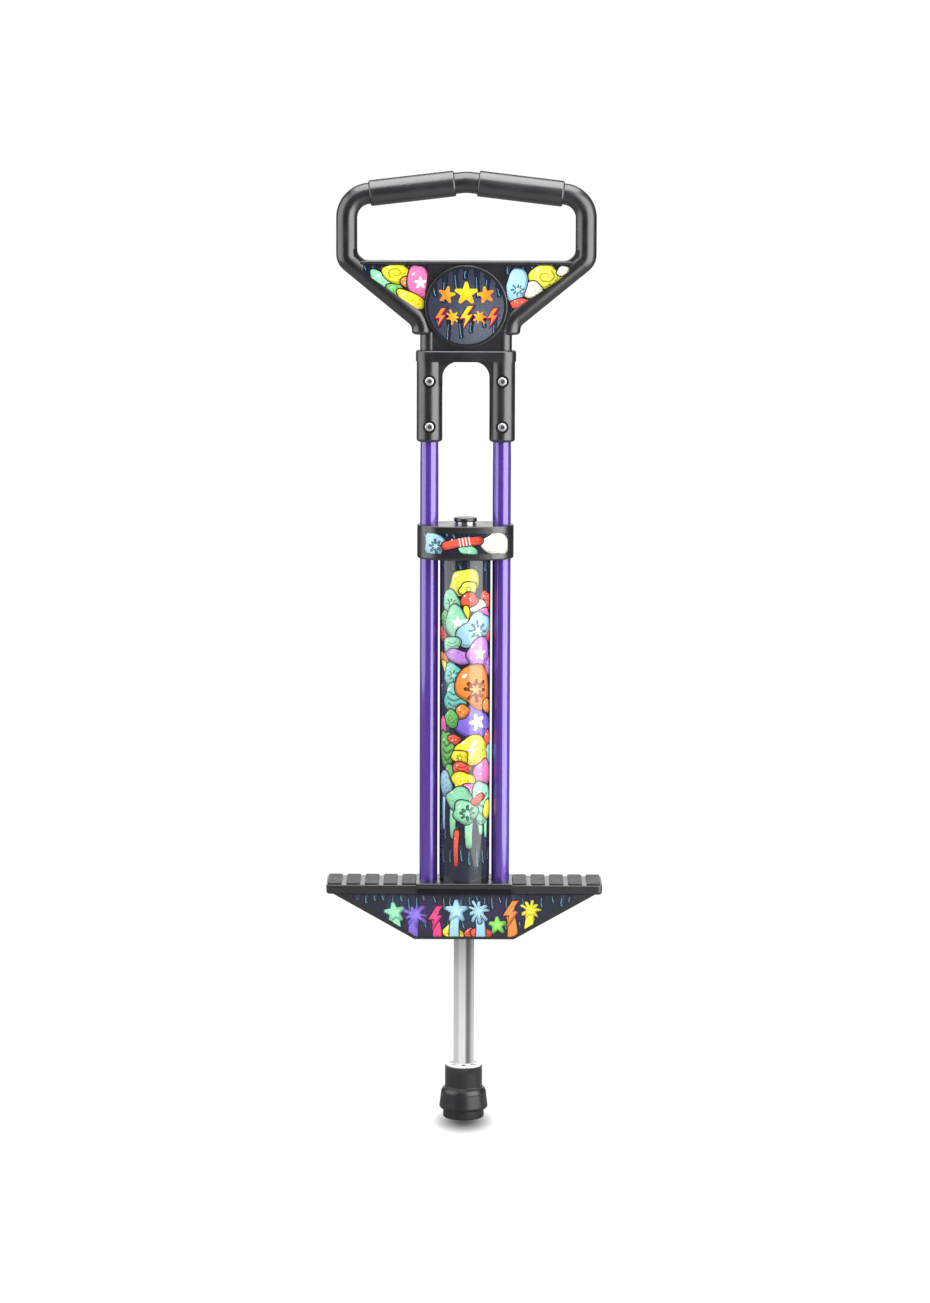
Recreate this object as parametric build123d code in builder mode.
from build123d import *
import math
import os

# Pogo stick for a child. A chrome shaft with a rubber tip slides up through a foot platform and a
# spring housing. Two frame tubes join the platform to a loop handle above.
# Millimetres. +Z is up, X runs across the stick and the front face looks along -Y.
# The origin is the centre of the rubber tip's underside.

os.makedirs("parts", exist_ok=True)

# ---------------------------------------------------------------- driving dimensions
# Frame tubes
tube_r = 8.8
tube_wall = 1.5
tube_x = 35.0  # each tube's distance from the middle plane
tube_bottom = 195.0
tube_top = 750.0

# Shaft, spring and the running parts round them
shaft_r = 10.0
shaft_wall = 1.6
shaft_bottom = 12.0
shaft_top = 587.7
running_gap = 0.05  # radial clearance of a bushing on the shaft
wire_r = 2.25
coil_r = 16.0
coil_turns = 25

# Spring housing
housing_r = 24.2
housing_wall = 1.5
housing_bottom = 225.0
housing_top = 560.0
wrap_thickness = 0.3

# Foot platform
deck_top = 235.2
deck_half_x = 134.0
deck_half_y = 27.0
rail_height = 9.2
skin = 2.6
fascia_y = 25.4  # outer face of the front and back walls
fascia_top_x = 127.0
fascia_bottom_x = 48.2
fascia_bottom = 181.6
keel_inset = 1.8  # the closing strip sits this far inside the walls' lower edges
keel_floor = fascia_bottom + keel_inset + skin  # inner face of the closing strip
cover_half_x = 48.0
cover_half_y = 28.0
cover_thickness = 1.5
ridge_count = 5
ridge_width = 13.4
ridge_gap = 4.6
ridge_height = 1.8
ridge_corner = 2.2
tread_outer_x = 132.5
tread_half_y = 25.5

# Top bracket
bracket_half_x = 46.65
bracket_half_y = 28.0
bracket_bottom = 552.4
bracket_top = 585.3

# Yoke between tubes and handle
yoke_leg_r = 12.5
yoke_leg_bottom = 665.0
yoke_arch_top = 742.7
yoke_top = 753.5
yoke_bolt_heights = (680.0, 724.0)
bolt_r = 2.5
bolt_head_r = 4.25
bolt_pocket_r = 6.25

# Handle
bar_r = 10.25
bar_wall = 3.4
web_half_y = 8.0
window_half_x = 104.65
window_bottom = 839.4
window_corner = 11.0
badge_z = 796.0
badge_r = 39.5
badge_face_y = 11.5
neck_post_r = 8.6
neck_post_x = 35.65
neck_top = 771.0
grip_r = 12.5
grip_inner_x = 11.0
grip_length = 82.6

# Centreline of the handle's bar, from the left end of the neck round to the right end
bar_end = (42.05, 768.4)
bar_waist = (42.05, 781.3)
bar_shoulder = (114.8, 840.9)
bar_corner = (114.8, 900.9)
bar_middle = (0.0, 914.5)
bar_points = [(-x, z) for x, z in (bar_end, bar_waist, bar_shoulder, bar_corner)]
bar_points += [bar_middle]
bar_points += [(x, z) for x, z in (bar_corner, bar_shoulder, bar_waist, bar_end)]
bar_bends = [17.5, 10, 23, 40, 23, 10, 17.5]
bar_end_round = 3.6


def keep(builder, name):
    """Label a finished piece and write it to its own file."""
    builder.part.label = name
    export_step(builder.part, f"parts/{name}.step")


def tube_between(outer_r, inner_r, low, high, mode=Mode.ADD):
    """Upright tube on the stick's axis, between two heights."""
    with BuildSketch(Plane.XY.offset(low)) as ring:
        Circle(outer_r)
        if inner_r > 0:
            Circle(inner_r, mode=Mode.SUBTRACT)
    extrude(ring.sketch, amount=high - low, mode=mode)


def posts_between(points, outer_r, low, high, mode=Mode.ADD):
    """Upright round posts, or holes, at several plan positions."""
    with BuildSketch(Plane.XY.offset(low)) as rounds:
        with Locations(*points):
            Circle(outer_r)
    extrude(rounds.sketch, amount=high - low, mode=mode)


def rods_along_y(points, radius, front, back, mode=Mode.ADD):
    """Round rods, or holes, along Y at several (x, z) positions, between two Y values."""
    with BuildSketch(Plane.XZ.offset(-back)) as rounds:
        with Locations(*points):
            Circle(radius)
    extrude(rounds.sketch, amount=back - front, mode=mode)


def plate_along_y(outline, front, back, mode=Mode.ADD):
    """Flat plate with an (x, z) outline, between two Y values."""
    with BuildSketch(Plane.XZ.offset(-back)) as face:
        Polygon(*outline, align=None)
    extrude(face.sketch, amount=back - front, mode=mode)


def mirrored(points):
    """An outline of right-hand points closed by its own mirror image on the left."""
    return points + [(-x, z) for x, z in reversed(points)]


# ---------------------------------------------------------------- rubber tip and shaft
tip_top = 51.5
tip_bore_floor = 10.0
tip_neck_r = 18.2
tip_neck_bottom = 30.9
tip_skirt_r = 23.7
tip_foot_r = 20.0
tip_foot_top = 8.6

with BuildPart() as rubber_tip:
    with BuildSketch(Plane.XZ):
        with BuildLine():
            Polyline(
                (0, tip_bore_floor),
                (0, 0),
                (tip_foot_r - 1, 0),
                (tip_foot_r, 1),
                (tip_foot_r, tip_foot_top),
            )
            ThreePointArc((tip_foot_r, tip_foot_top), (22.8, 9.4), (tip_skirt_r, 11.6))
            Line((tip_skirt_r, 11.6), (22.2, 23.8))
            ThreePointArc((22.2, 23.8), (21.1, 28.0), (tip_neck_r, tip_neck_bottom))
            Polyline(
                (tip_neck_r, tip_neck_bottom),
                (tip_neck_r, tip_top),
                (shaft_r, tip_top),
                (shaft_r, tip_bore_floor),
                (0, tip_bore_floor),
            )
        make_face()
    revolve(axis=Axis.Z)
    waist = rubber_tip.edges().filter_by_position(Axis.Z, tip_neck_bottom - 0.5, tip_neck_bottom + 0.5)
    fillet(waist, radius=0.8)
    lip = rubber_tip.edges().filter_by_position(Axis.Z, tip_top - 0.5, tip_top + 0.5)
    fillet(lip.sort_by(SortBy.RADIUS)[-1], radius=0.7)
keep(rubber_tip, "rubber_tip")

with BuildPart() as tip_disc:
    tube_between(shaft_r - 0.1, 0, tip_bore_floor, shaft_bottom)
keep(tip_disc, "tip_disc")

retainer_height = 1.4
with BuildPart() as tip_retainer:
    tube_between(tip_neck_r - 0.9, shaft_r, tip_top, tip_top + retainer_height)
    with BuildSketch(Plane.XY.offset(tip_top)) as notches:
        with PolarLocations(shaft_r + 1.6, 6, start_angle=30):
            RectangleRounded(5.0, 4.2, 1.6)
    extrude(notches.sketch, amount=retainer_height, mode=Mode.SUBTRACT)
    rim = tip_retainer.edges().filter_by(GeomType.CIRCLE).sort_by(SortBy.RADIUS)[-2:]
    fillet(rim.sort_by(Axis.Z)[-1], radius=0.8)
keep(tip_retainer, "tip_retainer")

pin_z = 240.0
pin_r = 2.5
pin_half_length = 17.0
seat_top = 248.0

with BuildPart() as plunger_shaft:
    tube_between(shaft_r, shaft_r - shaft_wall, shaft_bottom, shaft_top)
    with BuildSketch(Plane.YZ.offset(-shaft_r)) as pin_hole:
        with Locations((0, pin_z)):
            Circle(pin_r)
    extrude(pin_hole.sketch, amount=2 * shaft_r, mode=Mode.SUBTRACT)
keep(plunger_shaft, "plunger_shaft")

with BuildPart() as spring_pin:
    with BuildSketch(Plane.YZ.offset(-pin_half_length)):
        with Locations((0, pin_z)):
            Circle(pin_r)
    extrude(amount=2 * pin_half_length)
    chamfer(spring_pin.edges().filter_by(GeomType.CIRCLE), length=0.5)
keep(spring_pin, "spring_pin")

seat_r = 20.0
with BuildPart() as lower_spring_seat:
    tube_between(seat_r, shaft_r, pin_z, seat_top)
    tube_between(coil_r - wire_r - 0.6, shaft_r, seat_top, seat_top + 8)
    with BuildSketch(Plane.YZ.offset(-seat_r)) as pin_groove:
        with Locations((0, pin_z)):
            Circle(pin_r)
    extrude(pin_groove.sketch, amount=2 * seat_r, mode=Mode.SUBTRACT)
keep(lower_spring_seat, "lower_spring_seat")

plug_flange_r = 11.1
plug_flange = 4.0
with BuildPart() as shaft_end_plug:
    tube_between(shaft_r - shaft_wall, 5.0, shaft_top - 14, shaft_top)
    tube_between(plug_flange_r, 0, shaft_top, shaft_top + plug_flange)
    flange_rims = shaft_end_plug.edges().filter_by(GeomType.CIRCLE).sort_by(SortBy.RADIUS)[-2:]
    fillet(flange_rims, radius=0.9)
keep(shaft_end_plug, "shaft_end_plug")

# ---------------------------------------------------------------- spring and its mates
upper_seat_bottom = housing_top - 3.0
spring_low = seat_top + wire_r
spring_high = upper_seat_bottom - wire_r

with BuildPart() as main_spring:
    with BuildLine() as coil:
        Helix(
            pitch=(spring_high - spring_low) / coil_turns,
            height=spring_high - spring_low,
            radius=coil_r,
            center=(0, 0, spring_low),
        )
    with BuildSketch(Plane(origin=coil.line @ 0, z_dir=coil.line % 0)):
        Circle(wire_r)
    sweep(is_frenet=True)
keep(main_spring, "main_spring")

housing_bore_r = housing_r - housing_wall
with BuildPart() as upper_spring_seat:
    tube_between(housing_bore_r - 0.2, 14.0, upper_seat_bottom, housing_top)
keep(upper_spring_seat, "upper_spring_seat")

bushing_r = 12.5
shaft_hole_r = shaft_r + running_gap
bracket_lip = 2.3
with BuildPart() as top_bushing:
    tube_between(bushing_r, shaft_hole_r, housing_top - 3, bracket_top - bracket_lip)
keep(top_bushing, "top_bushing")

bushing_flange_r = 18.0
bumper_bottom = housing_bottom + 3.0
with BuildPart() as lower_bushing:
    tube_between(bushing_r, shaft_hole_r, keel_floor, housing_bottom)
    tube_between(bushing_flange_r, shaft_hole_r, housing_bottom, bumper_bottom)
keep(lower_bushing, "lower_bushing")

with BuildPart() as rebound_bumper:
    tube_between(bushing_flange_r, shaft_r + 1.0, bumper_bottom, pin_z - pin_r - 0.5)
    fillet(rebound_bumper.edges().group_by(Axis.Z)[-1], radius=1.5)
keep(rebound_bumper, "rebound_bumper")

# ---------------------------------------------------------------- spring housing and its wrap
with BuildPart() as spring_housing:
    tube_between(housing_r, housing_bore_r, housing_bottom, housing_top)
keep(spring_housing, "spring_housing")

wrap_bottom = 239.9
wrap_top = 551.5
wrap_seam = 1.5
with BuildPart() as housing_label:
    tube_between(housing_r + wrap_thickness, housing_r, wrap_bottom, wrap_top)
    with BuildSketch(Plane.XY.offset(wrap_bottom)) as seam:
        with Locations((0, housing_r)):
            Rectangle(wrap_seam, 4)
    extrude(seam.sketch, amount=wrap_top - wrap_bottom, mode=Mode.SUBTRACT)
keep(housing_label, "housing_label")

# ---------------------------------------------------------------- frame tubes
yoke_bolt_points = [(sx * tube_x, z) for sx in (-1, 1) for z in yoke_bolt_heights]
bracket_screw_z = 569.0
platform_screw_z = 207.0
screw_r = 2.0

for side, name in ((-1, "frame_tube_left"), (1, "frame_tube_right")):
    with BuildPart() as frame_tube:
        with BuildSketch(Plane.XY.offset(tube_bottom)):
            with Locations((side * tube_x, 0)):
                Circle(tube_r)
                Circle(tube_r - tube_wall, mode=Mode.SUBTRACT)
        extrude(amount=tube_top - tube_bottom)
        bolt_points = [(side * tube_x, z) for z in yoke_bolt_heights]
        rods_along_y(bolt_points, bolt_r, -tube_r, tube_r, mode=Mode.SUBTRACT)
        rear_points = [(side * tube_x, z) for z in (bracket_screw_z, platform_screw_z)]
        rods_along_y(rear_points, screw_r, 0, tube_r, mode=Mode.SUBTRACT)
    keep(frame_tube, name)

# ---------------------------------------------------------------- foot platform
rail_bottom = deck_top - rail_height
keel_half_y = fascia_y - skin
floor_plate = 4.0  # under the housing
boss_wall = 3.5
rib_half = 1.1
rib_xs = [side * x for side in (-1, 1) for x in (66.0, 88.0, 110.0)]
keel_screw_points = [(x, y) for x in (-42.0, 42.0) for y in (-16.0, 16.0)]
platform_screw_points = [(-tube_x, platform_screw_z), (tube_x, platform_screw_z)]
tube_plan = [(-tube_x, 0), (tube_x, 0)]
ridge_pitch = ridge_width + ridge_gap
tread_length = ridge_count * ridge_width + (ridge_count - 1) * ridge_gap
pad_recess = 1.0
lip_bottom = rail_bottom + 6.0
slope_rise = (rail_bottom - fascia_bottom) / (fascia_top_x - fascia_bottom_x)
slope_length = math.hypot(1, slope_rise)


def underside(lift):
    """Right half of the tapered outline under the deck, moved inwards by lift: top, then bottom."""
    top_x = fascia_bottom_x + (rail_bottom - fascia_bottom - lift * slope_length) / slope_rise
    bend_x = fascia_bottom_x + lift * (1 - slope_length) / slope_rise
    return [(top_x, rail_bottom), (bend_x, fascia_bottom + lift)]


def floor_height(x):
    """Height of the inner face of the closing strip at x."""
    run = max(abs(x) - fascia_bottom_x, 0.0)
    return max(keel_floor, fascia_bottom + run * slope_rise + (keel_inset + skin) * slope_length)


with BuildPart() as foot_platform:
    # Deck with a rail all round it, hollow under each foot
    with BuildSketch(Plane.XY.offset(rail_bottom)) as rail_plan:
        RectangleRounded(2 * deck_half_x, 2 * deck_half_y, 4)
    extrude(rail_plan.sketch, amount=rail_height)
    fillet(foot_platform.edges().group_by(Axis.Z)[0], radius=2.5)
    fillet(foot_platform.edges().group_by(Axis.Z)[-1], radius=1.0)
    with BuildSketch(Plane.XY.offset(rail_bottom)) as hollows:
        with Locations(*[(end * (deck_half_x + fascia_bottom_x) / 2, 0) for end in (-1, 1)]):
            RectangleRounded(deck_half_x - fascia_bottom_x - 2 * skin, 2 * keel_half_y, 2)
    extrude(hollows.sketch, amount=rail_height - skin - pad_recess, mode=Mode.SUBTRACT)
    # Front and back walls
    wall_outline = mirrored(underside(0))
    plate_along_y(wall_outline, -fascia_y, -keel_half_y)
    plate_along_y(wall_outline, keel_half_y, fascia_y)
    # Floor under the housing, bosses for the bushing, the tubes and the screws, and webs between them
    web_x = tube_x + tube_r + boss_wall
    floor_bottom = housing_bottom - floor_plate
    plate_along_y(
        mirrored([(web_x, rail_bottom), (web_x, floor_bottom)]), -keel_half_y, keel_half_y
    )
    tube_between(bushing_r + boss_wall, 0, keel_floor, floor_bottom)
    posts_between(tube_plan, tube_r + boss_wall, keel_floor, floor_bottom)
    posts_between(keel_screw_points, screw_r + 2.2, keel_floor, floor_bottom)
    plate_along_y(mirrored([(tube_x, floor_bottom), (tube_x, keel_floor)]), -rib_half, rib_half)
    plate_along_y(
        mirrored([(rib_half, floor_bottom), (rib_half, keel_floor)]), -keel_half_y, keel_half_y
    )
    # Cross ribs under each foot
    for rib_x in rib_xs:
        low = floor_height(abs(rib_x) + rib_half)
        left, right = rib_x - rib_half, rib_x + rib_half
        rib = [(left, low), (right, low), (right, deck_top - 3), (left, deck_top - 3)]
        plate_along_y(rib, -keel_half_y, keel_half_y)
    # Bores for the housing, the bushing, the tubes and the screws
    tube_between(housing_r, 0, housing_bottom, deck_top, mode=Mode.SUBTRACT)
    tube_between(bushing_r, 0, keel_floor, housing_bottom, mode=Mode.SUBTRACT)
    posts_between(tube_plan, tube_r, tube_bottom, deck_top, mode=Mode.SUBTRACT)
    posts_between(keel_screw_points, screw_r, keel_floor, keel_floor + 10, mode=Mode.SUBTRACT)
    rods_along_y(platform_screw_points, screw_r, 0, fascia_y, mode=Mode.SUBTRACT)
    for face in (-1, 1):
        # Band set back under the centre cover's lips
        with BuildSketch(Plane.XY.offset(rail_bottom)) as band:
            with Locations((0, face * (fascia_y + deck_half_y) / 2)):
                Rectangle(2 * cover_half_x, deck_half_y - fascia_y)
        extrude(band.sketch, amount=lip_bottom - rail_bottom, mode=Mode.SUBTRACT)
        # Pockets for the tread's ridges
        with BuildSketch(Plane.XY.offset(deck_top - pad_recess)) as pockets:
            with Locations((face * (tread_outer_x - tread_length / 2), 0)):
                with GridLocations(ridge_pitch, 1, ridge_count, 1):
                    RectangleRounded(ridge_width, 2 * tread_half_y, ridge_corner)
        extrude(pockets.sketch, amount=pad_recess, mode=Mode.SUBTRACT)
    # Recess for the printed front label
    label_depth = 0.6
    label_margin = 2.6
    label_corners = [
        (fascia_top_x - 14.0, rail_bottom - 0.3),
        (fascia_bottom_x - 1.0, fascia_bottom + label_margin),
    ]
    plate_along_y(mirrored(label_corners), -fascia_y, -fascia_y + label_depth, mode=Mode.SUBTRACT)
keep(foot_platform, "foot_platform")

label_gap = 0.2
with BuildPart() as fascia_label:
    (top_x, top_z), (low_x, low_z) = label_corners
    label_face = mirrored(
        [(top_x - 2.5 * label_gap, top_z - label_gap), (low_x - label_gap, low_z + label_gap)]
    )
    plate_along_y(label_face, -fascia_y + label_gap, -fascia_y + label_depth)
keep(fascia_label, "fascia_label")

with BuildPart() as platform_keel:
    # Bent strip that closes the underside between the two walls
    plate_along_y(mirrored(underside(keel_inset)), -keel_half_y, keel_half_y)
    plate_along_y(mirrored(underside(keel_inset + skin)), -keel_half_y, keel_half_y, mode=Mode.SUBTRACT)
    strip_bottom = fascia_bottom + keel_inset
    tube_between(shaft_r + 1.2, 0, strip_bottom, keel_floor, mode=Mode.SUBTRACT)
    posts_between(keel_screw_points, screw_r, strip_bottom, keel_floor, mode=Mode.SUBTRACT)
keep(platform_keel, "platform_keel")

small_head_r = 3.6
small_head = 1.8
head_round = 1.0
with BuildPart() as keel_screws:
    posts_between(keel_screw_points, screw_r, strip_bottom, keel_floor + 9.5)
    posts_between(keel_screw_points, small_head_r, strip_bottom - small_head, strip_bottom)
    fillet(keel_screws.edges().group_by(Axis.Z)[0], radius=head_round)
keep(keel_screws, "keel_screws")

with BuildPart() as platform_screws:
    rods_along_y(platform_screw_points, screw_r, tube_r - 4, fascia_y)
    rods_along_y(platform_screw_points, small_head_r, fascia_y, fascia_y + small_head)
    fillet(platform_screws.edges().group_by(Axis.Y)[-1], radius=head_round)
keep(platform_screws, "platform_screws")

cover_top = deck_top + cover_thickness
with BuildPart() as centre_cover:
    with BuildSketch(Plane.XY.offset(deck_top)) as cover_plan:
        RectangleRounded(2 * cover_half_x - 2, 2 * cover_half_y, 1.5)
    extrude(cover_plan.sketch, amount=cover_thickness)
    # Lips turned down over the front and back rails
    for face in (-1, 1):
        with BuildSketch(Plane.XY.offset(lip_bottom)) as lip:
            with Locations((0, face * (deck_half_y + cover_half_y) / 2)):
                Rectangle(2 * cover_half_x - 4, cover_half_y - deck_half_y)
        extrude(lip.sketch, amount=deck_top + 0.3 - lip_bottom)
    top_rim = centre_cover.edges().group_by(Axis.Z)[-1]
    fillet(top_rim, radius=0.9)
    tube_between(housing_r + 0.4, 0, deck_top, cover_top, mode=Mode.SUBTRACT)
    posts_between(tube_plan, tube_r + 0.3, deck_top, cover_top, mode=Mode.SUBTRACT)
keep(centre_cover, "centre_cover")

groove_count = 16
groove_width = 0.9
groove_depth = 0.35
for side, name in ((-1, "tread_pad_left"), (1, "tread_pad_right")):
    tread_centre = side * (tread_outer_x - tread_length / 2)
    with BuildPart() as tread_pad:
        with BuildSketch(Plane.XY.offset(deck_top - pad_recess)):
            with Locations((tread_centre, 0)):
                with GridLocations(ridge_pitch, 1, ridge_count, 1):
                    RectangleRounded(ridge_width, 2 * tread_half_y, ridge_corner)
        extrude(amount=pad_recess + ridge_height)
        fillet(tread_pad.edges().group_by(Axis.Z)[-1], radius=0.7)
        with BuildSketch(Plane.XY.offset(deck_top + ridge_height - groove_depth)) as grooves:
            with Locations((tread_centre, 0)):
                with GridLocations(1, 2 * (tread_half_y - 1.6) / groove_count, 1, groove_count):
                    Rectangle(tread_length + 2, groove_width)
        extrude(grooves.sketch, amount=groove_depth, mode=Mode.SUBTRACT)
    keep(tread_pad, name)

# ---------------------------------------------------------------- top bracket


bracket_end_r = 26.0
end_centre_x = bracket_half_x - bracket_end_r
depth_left = bracket_half_y - bracket_end_r
face_centre_y = (end_centre_x**2 - depth_left**2) / (2 * depth_left)
face_reach = math.hypot(end_centre_x, face_centre_y)


def bracket_plan(inset):
    """Oval outline of the top bracket, moved inwards by inset: end arcs tangent to face arcs."""
    meet_x = end_centre_x + (bracket_end_r - inset) * end_centre_x / face_reach
    meet_y = (bracket_end_r - inset) * face_centre_y / face_reach
    with BuildSketch(Plane.XY) as oval:
        with BuildLine():
            ThreePointArc((-meet_x, -meet_y), (0, inset - bracket_half_y), (meet_x, -meet_y))
            ThreePointArc((meet_x, -meet_y), (bracket_half_x - inset, 0), (meet_x, meet_y))
            ThreePointArc((meet_x, meet_y), (0, bracket_half_y - inset), (-meet_x, meet_y))
            ThreePointArc((-meet_x, meet_y), (inset - bracket_half_x, 0), (-meet_x, -meet_y))
        make_face()
    return oval.sketch


def bracket_slab(inset, low, high, mode=Mode.ADD):
    """Slice of the bracket's oval between two heights."""
    extrude(Plane.XY.offset(low) * bracket_plan(inset), amount=high - low, mode=mode)


band_half_x = 41.0
band_low = bracket_bottom + 6.5
band_high = bracket_top - 6.5
band_recess = 0.6
bracket_screw_points = [(-tube_x, bracket_screw_z), (tube_x, bracket_screw_z)]

with BuildPart() as band_label:
    bracket_slab(0.2, band_low + 0.2, band_high - 0.2)
    bracket_slab(band_recess, band_low, band_high, mode=Mode.SUBTRACT)
    with BuildSketch(Plane.XY.offset(band_low)) as window:
        with Locations((0, -bracket_half_y)):
            Rectangle(2 * band_half_x - 0.4, 2 * bracket_half_y - 8)
    extrude(window.sketch, amount=band_high - band_low, mode=Mode.INTERSECT)
keep(band_label, "band_label")

with BuildPart() as band_pocket:
    bracket_slab(0, band_low, band_high)
    bracket_slab(band_recess, band_low, band_high, mode=Mode.SUBTRACT)
    with BuildSketch(Plane.XY.offset(band_low)) as opening:
        with Locations((0, -bracket_half_y)):
            Rectangle(2 * band_half_x, 2 * bracket_half_y - 8)
    extrude(opening.sketch, amount=band_high - band_low, mode=Mode.INTERSECT)

with BuildPart() as top_bracket:
    bracket_slab(0, bracket_bottom, bracket_top)
    fillet(top_bracket.edges().group_by(Axis.Z)[0], radius=2.0)
    fillet(top_bracket.edges().group_by(Axis.Z)[-1], radius=1.0)
    # Label recess in the front face
    add(band_pocket.part, mode=Mode.SUBTRACT)
    # Bores for the tubes, the housing, the bushing and the shaft
    posts_between(tube_plan, tube_r, bracket_bottom, bracket_top, mode=Mode.SUBTRACT)
    tube_between(housing_r, 0, bracket_bottom, housing_top, mode=Mode.SUBTRACT)
    tube_between(bushing_r, 0, housing_top, bracket_top - bracket_lip, mode=Mode.SUBTRACT)
    tube_between(shaft_r + 1.0, 0, bracket_top - bracket_lip, bracket_top, mode=Mode.SUBTRACT)
    rods_along_y(bracket_screw_points, screw_r, 0, bracket_half_y, mode=Mode.SUBTRACT)
    rods_along_y(bracket_screw_points, small_head_r + 0.3, 20.0, bracket_half_y, mode=Mode.SUBTRACT)
keep(top_bracket, "top_bracket")

with BuildPart() as bracket_screws:
    rods_along_y(bracket_screw_points, screw_r, tube_r - 4, 20.0)
    rods_along_y(bracket_screw_points, small_head_r, 20.0, 20.0 + small_head)
    fillet(bracket_screws.edges().group_by(Axis.Y)[-1], radius=head_round)
keep(bracket_screws, "bracket_screws")

# ---------------------------------------------------------------- yoke, its bolts and nuts
yoke_half_x = 48.4
arch_corner = 15.0
arch_half_x = tube_x - yoke_leg_r
bolt_seat = 9.9  # distance of each bolt head's and nut's seat from the middle plane
bolt_head = 2.6
yoke_round = 3.2
collar_round = 2.0
spigot_r = tube_r - tube_wall
collar_half_y = 13.4

with BuildPart() as tube_yoke:
    posts_between(tube_plan, yoke_leg_r, yoke_leg_bottom, yoke_arch_top + 2)
    fillet(tube_yoke.edges().group_by(Axis.Z)[0], radius=yoke_round)
    # Plate between the legs, with the arch cut out of it
    with BuildSketch(Plane.XZ.offset(-9)) as arch:
        with Locations((0, (720 + yoke_top) / 2)):
            Rectangle(2 * tube_x, yoke_top - 720)
        with Locations((0, yoke_arch_top - 45)):
            RectangleRounded(2 * arch_half_x, 90, arch_corner, mode=Mode.SUBTRACT)
    extrude(arch.sketch, amount=18)
    # Collar under the handle
    with BuildSketch(Plane.XY.offset(yoke_arch_top)) as collar:
        RectangleRounded(2 * yoke_half_x, 2 * collar_half_y, collar_half_y - 0.1)
    extrude(collar.sketch, amount=yoke_top - yoke_arch_top)
    fillet(tube_yoke.edges().group_by(Axis.Z)[-1], radius=collar_round)
    # Sockets for the tubes, holes for the handle's spigots, bolt and nut pockets
    posts_between(tube_plan, tube_r, yoke_leg_bottom, tube_top, mode=Mode.SUBTRACT)
    posts_between(tube_plan, spigot_r, tube_top, yoke_top, mode=Mode.SUBTRACT)
    rods_along_y(yoke_bolt_points, bolt_r, -yoke_leg_r, yoke_leg_r, mode=Mode.SUBTRACT)
    rods_along_y(yoke_bolt_points, bolt_pocket_r, -yoke_leg_r, -bolt_seat, mode=Mode.SUBTRACT)
    rods_along_y(yoke_bolt_points, bolt_pocket_r, bolt_seat, yoke_leg_r, mode=Mode.SUBTRACT)
keep(tube_yoke, "tube_yoke")

with BuildPart() as yoke_bolts:
    rods_along_y(yoke_bolt_points, bolt_r, -bolt_seat, bolt_seat + 5)
    rods_along_y(yoke_bolt_points, bolt_head_r, -bolt_seat - bolt_head, -bolt_seat)
    fillet(yoke_bolts.edges().group_by(Axis.Y)[0], radius=1.3)
    with BuildSketch(Plane.XZ.offset(bolt_seat + bolt_head - 1.6)) as sockets:
        with Locations(*yoke_bolt_points):
            RegularPolygon(2.0, 6)
    extrude(sockets.sketch, amount=1.6, mode=Mode.SUBTRACT)
keep(yoke_bolts, "yoke_bolts")

with BuildPart() as yoke_nuts:
    with BuildSketch(Plane.XZ.offset(-bolt_seat - 4)) as nuts:
        with Locations(*yoke_bolt_points):
            RegularPolygon(4.6, 6)
            Circle(bolt_r, mode=Mode.SUBTRACT)
    extrude(nuts.sketch, amount=4)
keep(yoke_nuts, "yoke_nuts")

# ---------------------------------------------------------------- handle shells
spigot_bottom = 708.0
rail_z = 836.0
rail_half_y = 9.8
rail_round = 1.5
badge_recess = 1.2
disc_r = 37.4
right_screw_points = [(88.0, 829.0), (54.0, 804.0), (14.0, 762.0)]
handle_screw_points = [(sx * x, z) for sx in (-1, 1) for x, z in right_screw_points]
handle_screw_r = 1.8
boss_outer_r = 4.2
badge_back_y = 9.2
badge_rim = 3.0
web_cavity = [(96.0, 832.0), (40.0, 785.0), (30.0, 770.0), (30.0, 758.0)]
web_outline = mirrored(
    [
        (bar_shoulder[0], window_bottom + window_corner),
        bar_shoulder,
        bar_waist,
        (bar_waist[0], bar_end[1] + 1),
        (neck_post_x, bar_end[1] + 1),
        (neck_post_x, yoke_top),
    ]
)
side_label_outline = [
    (98.8, 835.2),
    (36.2, 835.2),
    (41.0, 793.8),
    (46.5, 793.2),
    (95.9, 826.4),
    (98.8, 829.6),
]
side_label_depth = 0.5


def bar_sweep(radius, mode=Mode.ADD):
    """Round section swept along the handle's bent centreline."""
    with BuildLine(Plane.XZ) as centreline:
        FilletPolyline(*bar_points, radius=bar_bends)
    start = Plane(origin=centreline.line @ 0, z_dir=centreline.line % 0)
    with BuildSketch(start) as section:
        Circle(radius)
    sweep(sections=section.sketch, path=centreline.line, mode=mode)


def web_sketch(outline, plane, window_grow):
    """The web's outline with the hand window cut out of it."""
    with BuildSketch(plane) as web:
        Polygon(*outline, align=None)
        with Locations((0, window_bottom - window_grow + 50)):
            RectangleRounded(
                2 * (window_half_x + window_grow),
                100,
                window_corner + window_grow,
                mode=Mode.SUBTRACT,
            )
    return web.sketch


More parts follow.
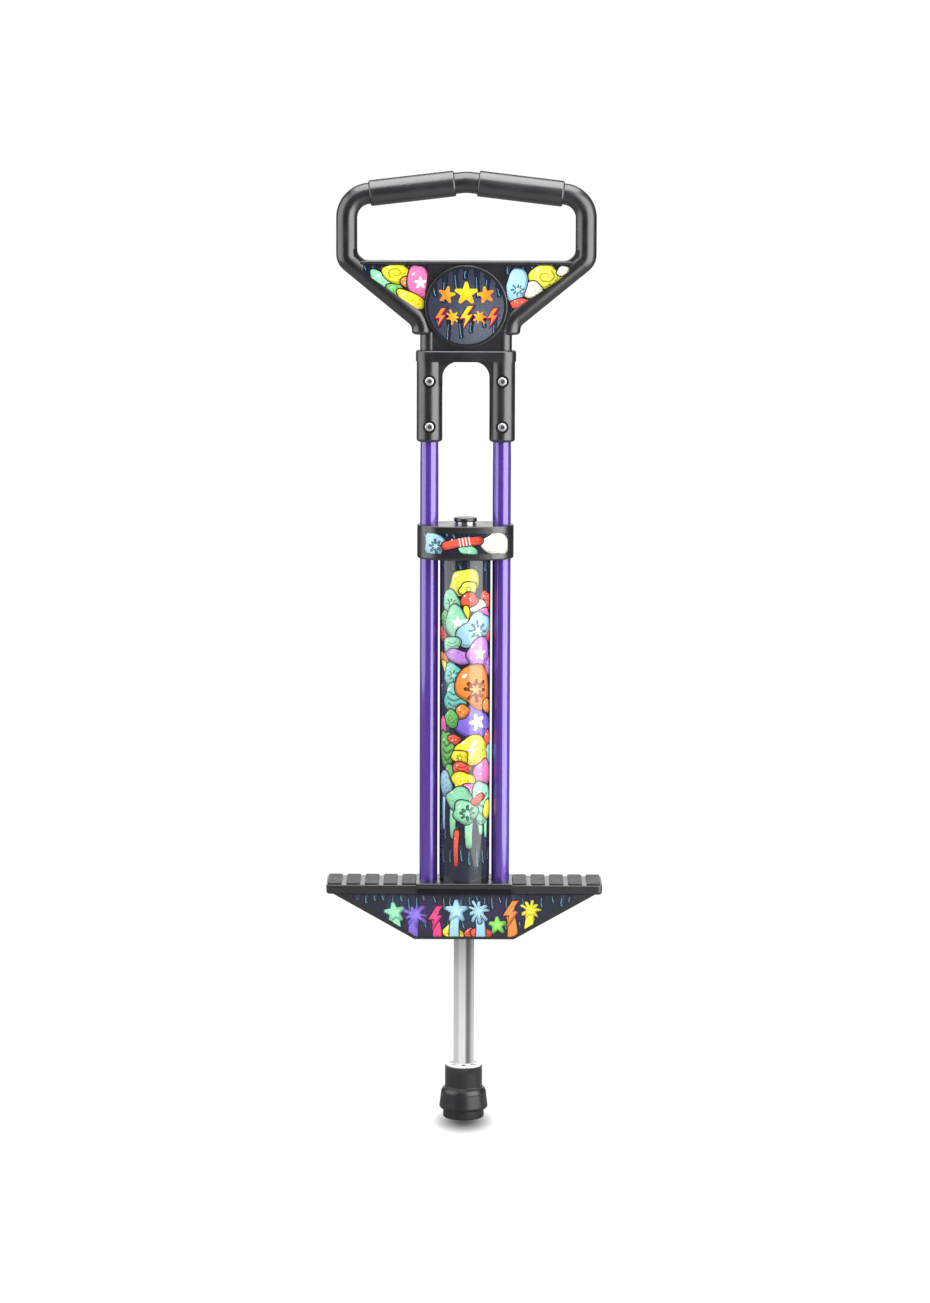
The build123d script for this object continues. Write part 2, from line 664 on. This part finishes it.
with BuildPart() as handle_body:
    bar_sweep(bar_r)
    fillet(handle_body.edges().group_by(Axis.Z)[0], radius=bar_end_round)
    extrude(web_sketch(web_outline, Plane.XZ.offset(-web_half_y), 0), amount=2 * web_half_y)
    # Bead along the window's lower edge
    with BuildSketch(Plane.YZ.offset(-window_half_x + 4)) as bead:
        with Locations((0, (rail_z + window_bottom) / 2)):
            RectangleRounded(2 * rail_half_y, window_bottom - rail_z, rail_round)
    extrude(bead.sketch, amount=2 * window_half_x - 8)
    # Neck posts and the round badge seat
    posts_between([(-neck_post_x, 0), (neck_post_x, 0)], neck_post_r, yoke_top, neck_top)
    rods_along_y([(0, badge_z)], badge_r, -badge_face_y, badge_back_y)
    badge_rims = handle_body.edges().filter_by(GeomType.CIRCLE).filter_by(
        lambda rim: abs(rim.radius - badge_r) < 0.01
    )
    fillet(badge_rims.group_by(Axis.Y)[0], radius=0.8)
    # Hollow: bar core and web cavity
    bar_sweep(bar_r - bar_wall, mode=Mode.SUBTRACT)
    extrude(
        web_sketch(
            mirrored(web_cavity),
            Plane.XZ.offset(-web_half_y + bar_wall),
            3.0,
        ),
        amount=2 * (web_half_y - bar_wall),
        mode=Mode.SUBTRACT,
    )
    badge_floor_y = -badge_face_y + badge_recess + badge_rim
    badge_roof_y = badge_back_y - badge_rim
    rods_along_y([(0, badge_z)], badge_r - badge_rim, badge_floor_y, badge_roof_y, mode=Mode.SUBTRACT)
    # Spigots that enter the frame tubes, and bosses for the screws
    posts_between(tube_plan, spigot_r, spigot_bottom, yoke_top)
    rods_along_y(handle_screw_points, boss_outer_r, -web_half_y + 1, web_half_y - 1)
    upper_bolts = [(sx * tube_x, yoke_bolt_heights[1]) for sx in (-1, 1)]
    rods_along_y(upper_bolts, bolt_r, -tube_r, tube_r, mode=Mode.SUBTRACT)

with BuildPart() as handle_front_shell:
    add(handle_body.part)
    split(bisect_by=Plane.XZ, keep=Keep.TOP)
    disc_floor_y = -badge_face_y + badge_recess
    rods_along_y([(0, badge_z)], disc_r + 0.2, -badge_face_y, disc_floor_y, mode=Mode.SUBTRACT)
    rods_along_y(handle_screw_points, handle_screw_r, -3.6, 0, mode=Mode.SUBTRACT)
    for side in (-1, 1):
        flipped = [(side * x, z) for x, z in side_label_outline]
        plate_along_y(flipped, -bar_r - 1, -web_half_y + side_label_depth, mode=Mode.SUBTRACT)
keep(handle_front_shell, "handle_front_shell")

screw_seat_y = 6.2
with BuildPart() as handle_back_shell:
    add(handle_body.part)
    split(bisect_by=Plane.XZ, keep=Keep.BOTTOM)
    rods_along_y(handle_screw_points, handle_screw_r, 0, screw_seat_y, mode=Mode.SUBTRACT)
    rods_along_y(handle_screw_points, small_head_r + 0.4, screw_seat_y, bar_r, mode=Mode.SUBTRACT)
keep(handle_back_shell, "handle_back_shell")

with BuildPart() as handle_screws:
    rods_along_y(handle_screw_points, handle_screw_r, -3.4, screw_seat_y)
    rods_along_y(handle_screw_points, small_head_r, screw_seat_y, screw_seat_y + small_head)
    fillet(handle_screws.edges().group_by(Axis.Y)[-1], radius=head_round)
keep(handle_screws, "handle_screws")

with BuildPart() as badge_disc:
    rods_along_y([(0, badge_z)], disc_r, -badge_face_y + 0.3, -badge_face_y + badge_recess)
keep(badge_disc, "badge_disc")

with BuildPart() as badge_label:
    rods_along_y([(0, badge_z)], disc_r - 0.9, -badge_face_y, -badge_face_y + 0.3)
keep(badge_label, "badge_label")

for side, name in ((-1, "handle_label_left"), (1, "handle_label_right")):
    with BuildPart() as side_label:
        plate_along_y(
            [(side * x, z) for x, z in side_label_outline],
            -web_half_y + 0.1,
            -web_half_y + side_label_depth,
        )
        fillet(side_label.edges().filter_by(Axis.Y), radius=1.5)
    keep(side_label, name)

# ---------------------------------------------------------------- grips
bar_slope = (bar_middle[1] - bar_corner[1]) / bar_corner[0]
bar_tilt = math.atan(bar_slope)
grip_rim = 1.9
for side, name in ((-1, "grip_left"), (1, "grip_right")):
    along = Vector(side * math.cos(bar_tilt), 0, -math.sin(bar_tilt))
    grip_start = Vector(side * grip_inner_x, 0, bar_middle[1] - grip_inner_x * bar_slope)
    with BuildPart() as grip:
        with BuildSketch(Plane(origin=grip_start, z_dir=along)):
            Circle(grip_r)
            Circle(bar_r, mode=Mode.SUBTRACT)
        extrude(amount=grip_length)
        ends = grip.edges().filter_by(GeomType.CIRCLE).sort_by(SortBy.RADIUS)[-2:]
        fillet(ends, radius=grip_rim)
    keep(grip, name)
